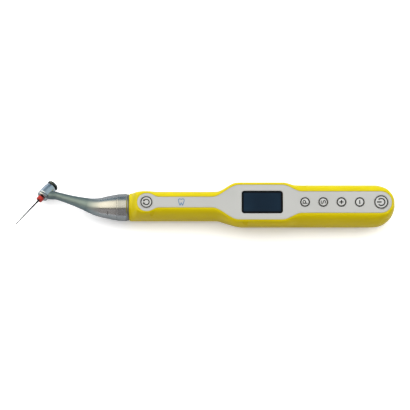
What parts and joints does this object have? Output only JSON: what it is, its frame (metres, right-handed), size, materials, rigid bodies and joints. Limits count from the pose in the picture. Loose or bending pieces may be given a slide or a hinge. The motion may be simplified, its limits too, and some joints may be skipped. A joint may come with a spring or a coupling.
{
  "type": "endodontic motor",
  "caption": "Cordless wand-shaped root-canal motor with a display and keys on its front panel and an angled steel head that turns a tapered file.",
  "frame": {"origin": "on the flat strip of the handpiece's back that it rests on, under the middle of the display window", "axes": "+X along the handpiece from the head end to the battery end; +Z out of the control panel; +Y across, towards the side that the head bends to"},
  "size_m": [0.2536, 0.0348, 0.0251],
  "materials": {
    "yellow_plastic": "gloss",
    "panel_film": "satin",
    "key_plastic": "satin",
    "display_glass": "gloss",
    "dark_plastic": "satin",
    "anodised_grey": "satin",
    "steel_satin": "satin",
    "steel_bright": "polished",
    "file_alloy": "satin",
    "brass_contact": "polished",
    "board_laminate": "satin",
    "cell_wrap": "satin",
    "rubber_black": "matte",
    "silicone_red": "satin"
  },
  "bodies": {
    "handle": {"front_shell": "yellow_plastic", "rear_shell": "yellow_plastic", "control_panel": "panel_film", "display_window": "display_glass", "display_module": "dark_plastic", "main_board": "board_laminate", "neck_board": "board_laminate", "ribbon_cable": "brass_contact", "battery_cell": "cell_wrap", "battery_spring": "steel_bright", "battery_plate": "brass_contact", "motor_can": "steel_bright", "motor_end_cap": "dark_plastic", "motor_bearing": "steel_bright", "nose_socket": "anodised_grey", "motor_lead_red": "silicone_red", "motor_lead_black": "rubber_black", "buzzer": "dark_plastic", "direction_switch": "dark_plastic", "program_switch": "dark_plastic", "set_switch": "dark_plastic", "plus_switch": "dark_plastic", "minus_switch": "dark_plastic", "power_switch": "dark_plastic", "charge_contact_1": "brass_contact", "charge_contact_2": "brass_contact", "shell_screw_1": "steel_bright", "shell_screw_2": "steel_bright", "shell_screw_3": "steel_bright"},
    "motor_armature": {"motor_rotor": "steel_bright", "motor_dog": "brass_contact"},
    "contra_angle": {"contra_rear_ring": "steel_satin", "coupling_o_ring": "rubber_black", "contra_body": "steel_satin", "drive_shaft_bearing": "steel_bright", "drive_shaft_bush": "brass_contact", "neck_shaft_bearing": "brass_contact", "head_housing": "steel_satin", "head_nut": "steel_bright", "cap_spring": "steel_bright", "spindle_bearing_lower": "steel_bright", "spindle_bearing_upper": "steel_bright"},
    "contra_drive_shaft": {"drive_shaft": "steel_bright"},
    "contra_neck_shaft": {"neck_shaft": "steel_bright"},
    "head_spindle": {"spindle": "steel_bright"},
    "file": {"root_canal_file": "file_alloy"},
    "stop": {"file_stop": "silicone_red"},
    "head_cap": {"push_cap": "steel_satin"},
    "direction_button": {"direction_key": "key_plastic"},
    "program_button": {"program_key": "key_plastic"},
    "set_button": {"set_key": "key_plastic"},
    "plus_button": {"plus_key": "key_plastic"},
    "minus_button": {"minus_key": "key_plastic"},
    "power_button": {"power_key": "key_plastic"}
  },
  "joints": [
    {"name": "motor_spin", "type": "hinge", "parent": "handle", "child": "motor_armature", "pos_m": [-0.06, 0, 0.011], "axis": [1, 0, 0], "continuous": true},
    {"name": "contra_swivel", "type": "hinge", "parent": "handle", "child": "contra_angle", "pos_m": [-0.0894, 0, 0.011], "axis": [1, 0, 0], "continuous": true},
    {"name": "drive_shaft_spin", "type": "hinge", "parent": "contra_angle", "child": "contra_drive_shaft", "pos_m": [-0.095, 0, 0.011], "axis": [1, 0, 0], "continuous": true},
    {"name": "neck_shaft_spin", "type": "hinge", "parent": "contra_angle", "child": "contra_neck_shaft", "pos_m": [-0.14528, 0.01146, 0.0066], "axis": [0.9421, -0.3132, 0.1202], "continuous": true},
    {"name": "spindle_spin", "type": "hinge", "parent": "contra_angle", "child": "head_spindle", "pos_m": [-0.14796, 0.00809, 0.00789], "axis": [0.5962, 0.7495, -0.2877], "continuous": true},
    {"name": "file_release", "type": "slide", "parent": "head_spindle", "child": "file", "axis": [-0.5962, -0.7495, 0.2877], "range_m": [0, 0.01]},
    {"name": "stop_slide", "type": "slide", "parent": "file", "child": "stop", "axis": [-0.5962, -0.7495, 0.2877], "range_m": [0, 0.016]},
    {"name": "cap_press", "type": "slide", "parent": "contra_angle", "child": "head_cap", "axis": [-0.5962, -0.7495, 0.2877], "range_m": [0, 0.0008], "stiffness_N_per_m": 1200},
    {"name": "direction_press", "type": "slide", "parent": "handle", "child": "direction_button", "axis": [0, 0, -1], "range_m": [0, 0.00035], "stiffness_N_per_m": 900},
    {"name": "program_press", "type": "slide", "parent": "handle", "child": "program_button", "axis": [0, 0, -1], "range_m": [0, 0.00035], "stiffness_N_per_m": 900},
    {"name": "set_press", "type": "slide", "parent": "handle", "child": "set_button", "axis": [0, 0, -1], "range_m": [0, 0.00035], "stiffness_N_per_m": 900},
    {"name": "plus_press", "type": "slide", "parent": "handle", "child": "plus_button", "axis": [0, 0, -1], "range_m": [0, 0.00035], "stiffness_N_per_m": 900},
    {"name": "minus_press", "type": "slide", "parent": "handle", "child": "minus_button", "axis": [0, 0, -1], "range_m": [0, 0.00035], "stiffness_N_per_m": 900},
    {"name": "power_press", "type": "slide", "parent": "handle", "child": "power_button", "axis": [0, 0, -1], "range_m": [0, 0.00035], "stiffness_N_per_m": 900}
  ],
  "couplings": [
    {"joint": "drive_shaft_spin", "follows": "motor_spin", "ratio": 1},
    {"joint": "neck_shaft_spin", "follows": "motor_spin", "ratio": 1},
    {"joint": "spindle_spin", "follows": "motor_spin", "ratio": -0.5}
  ]
}
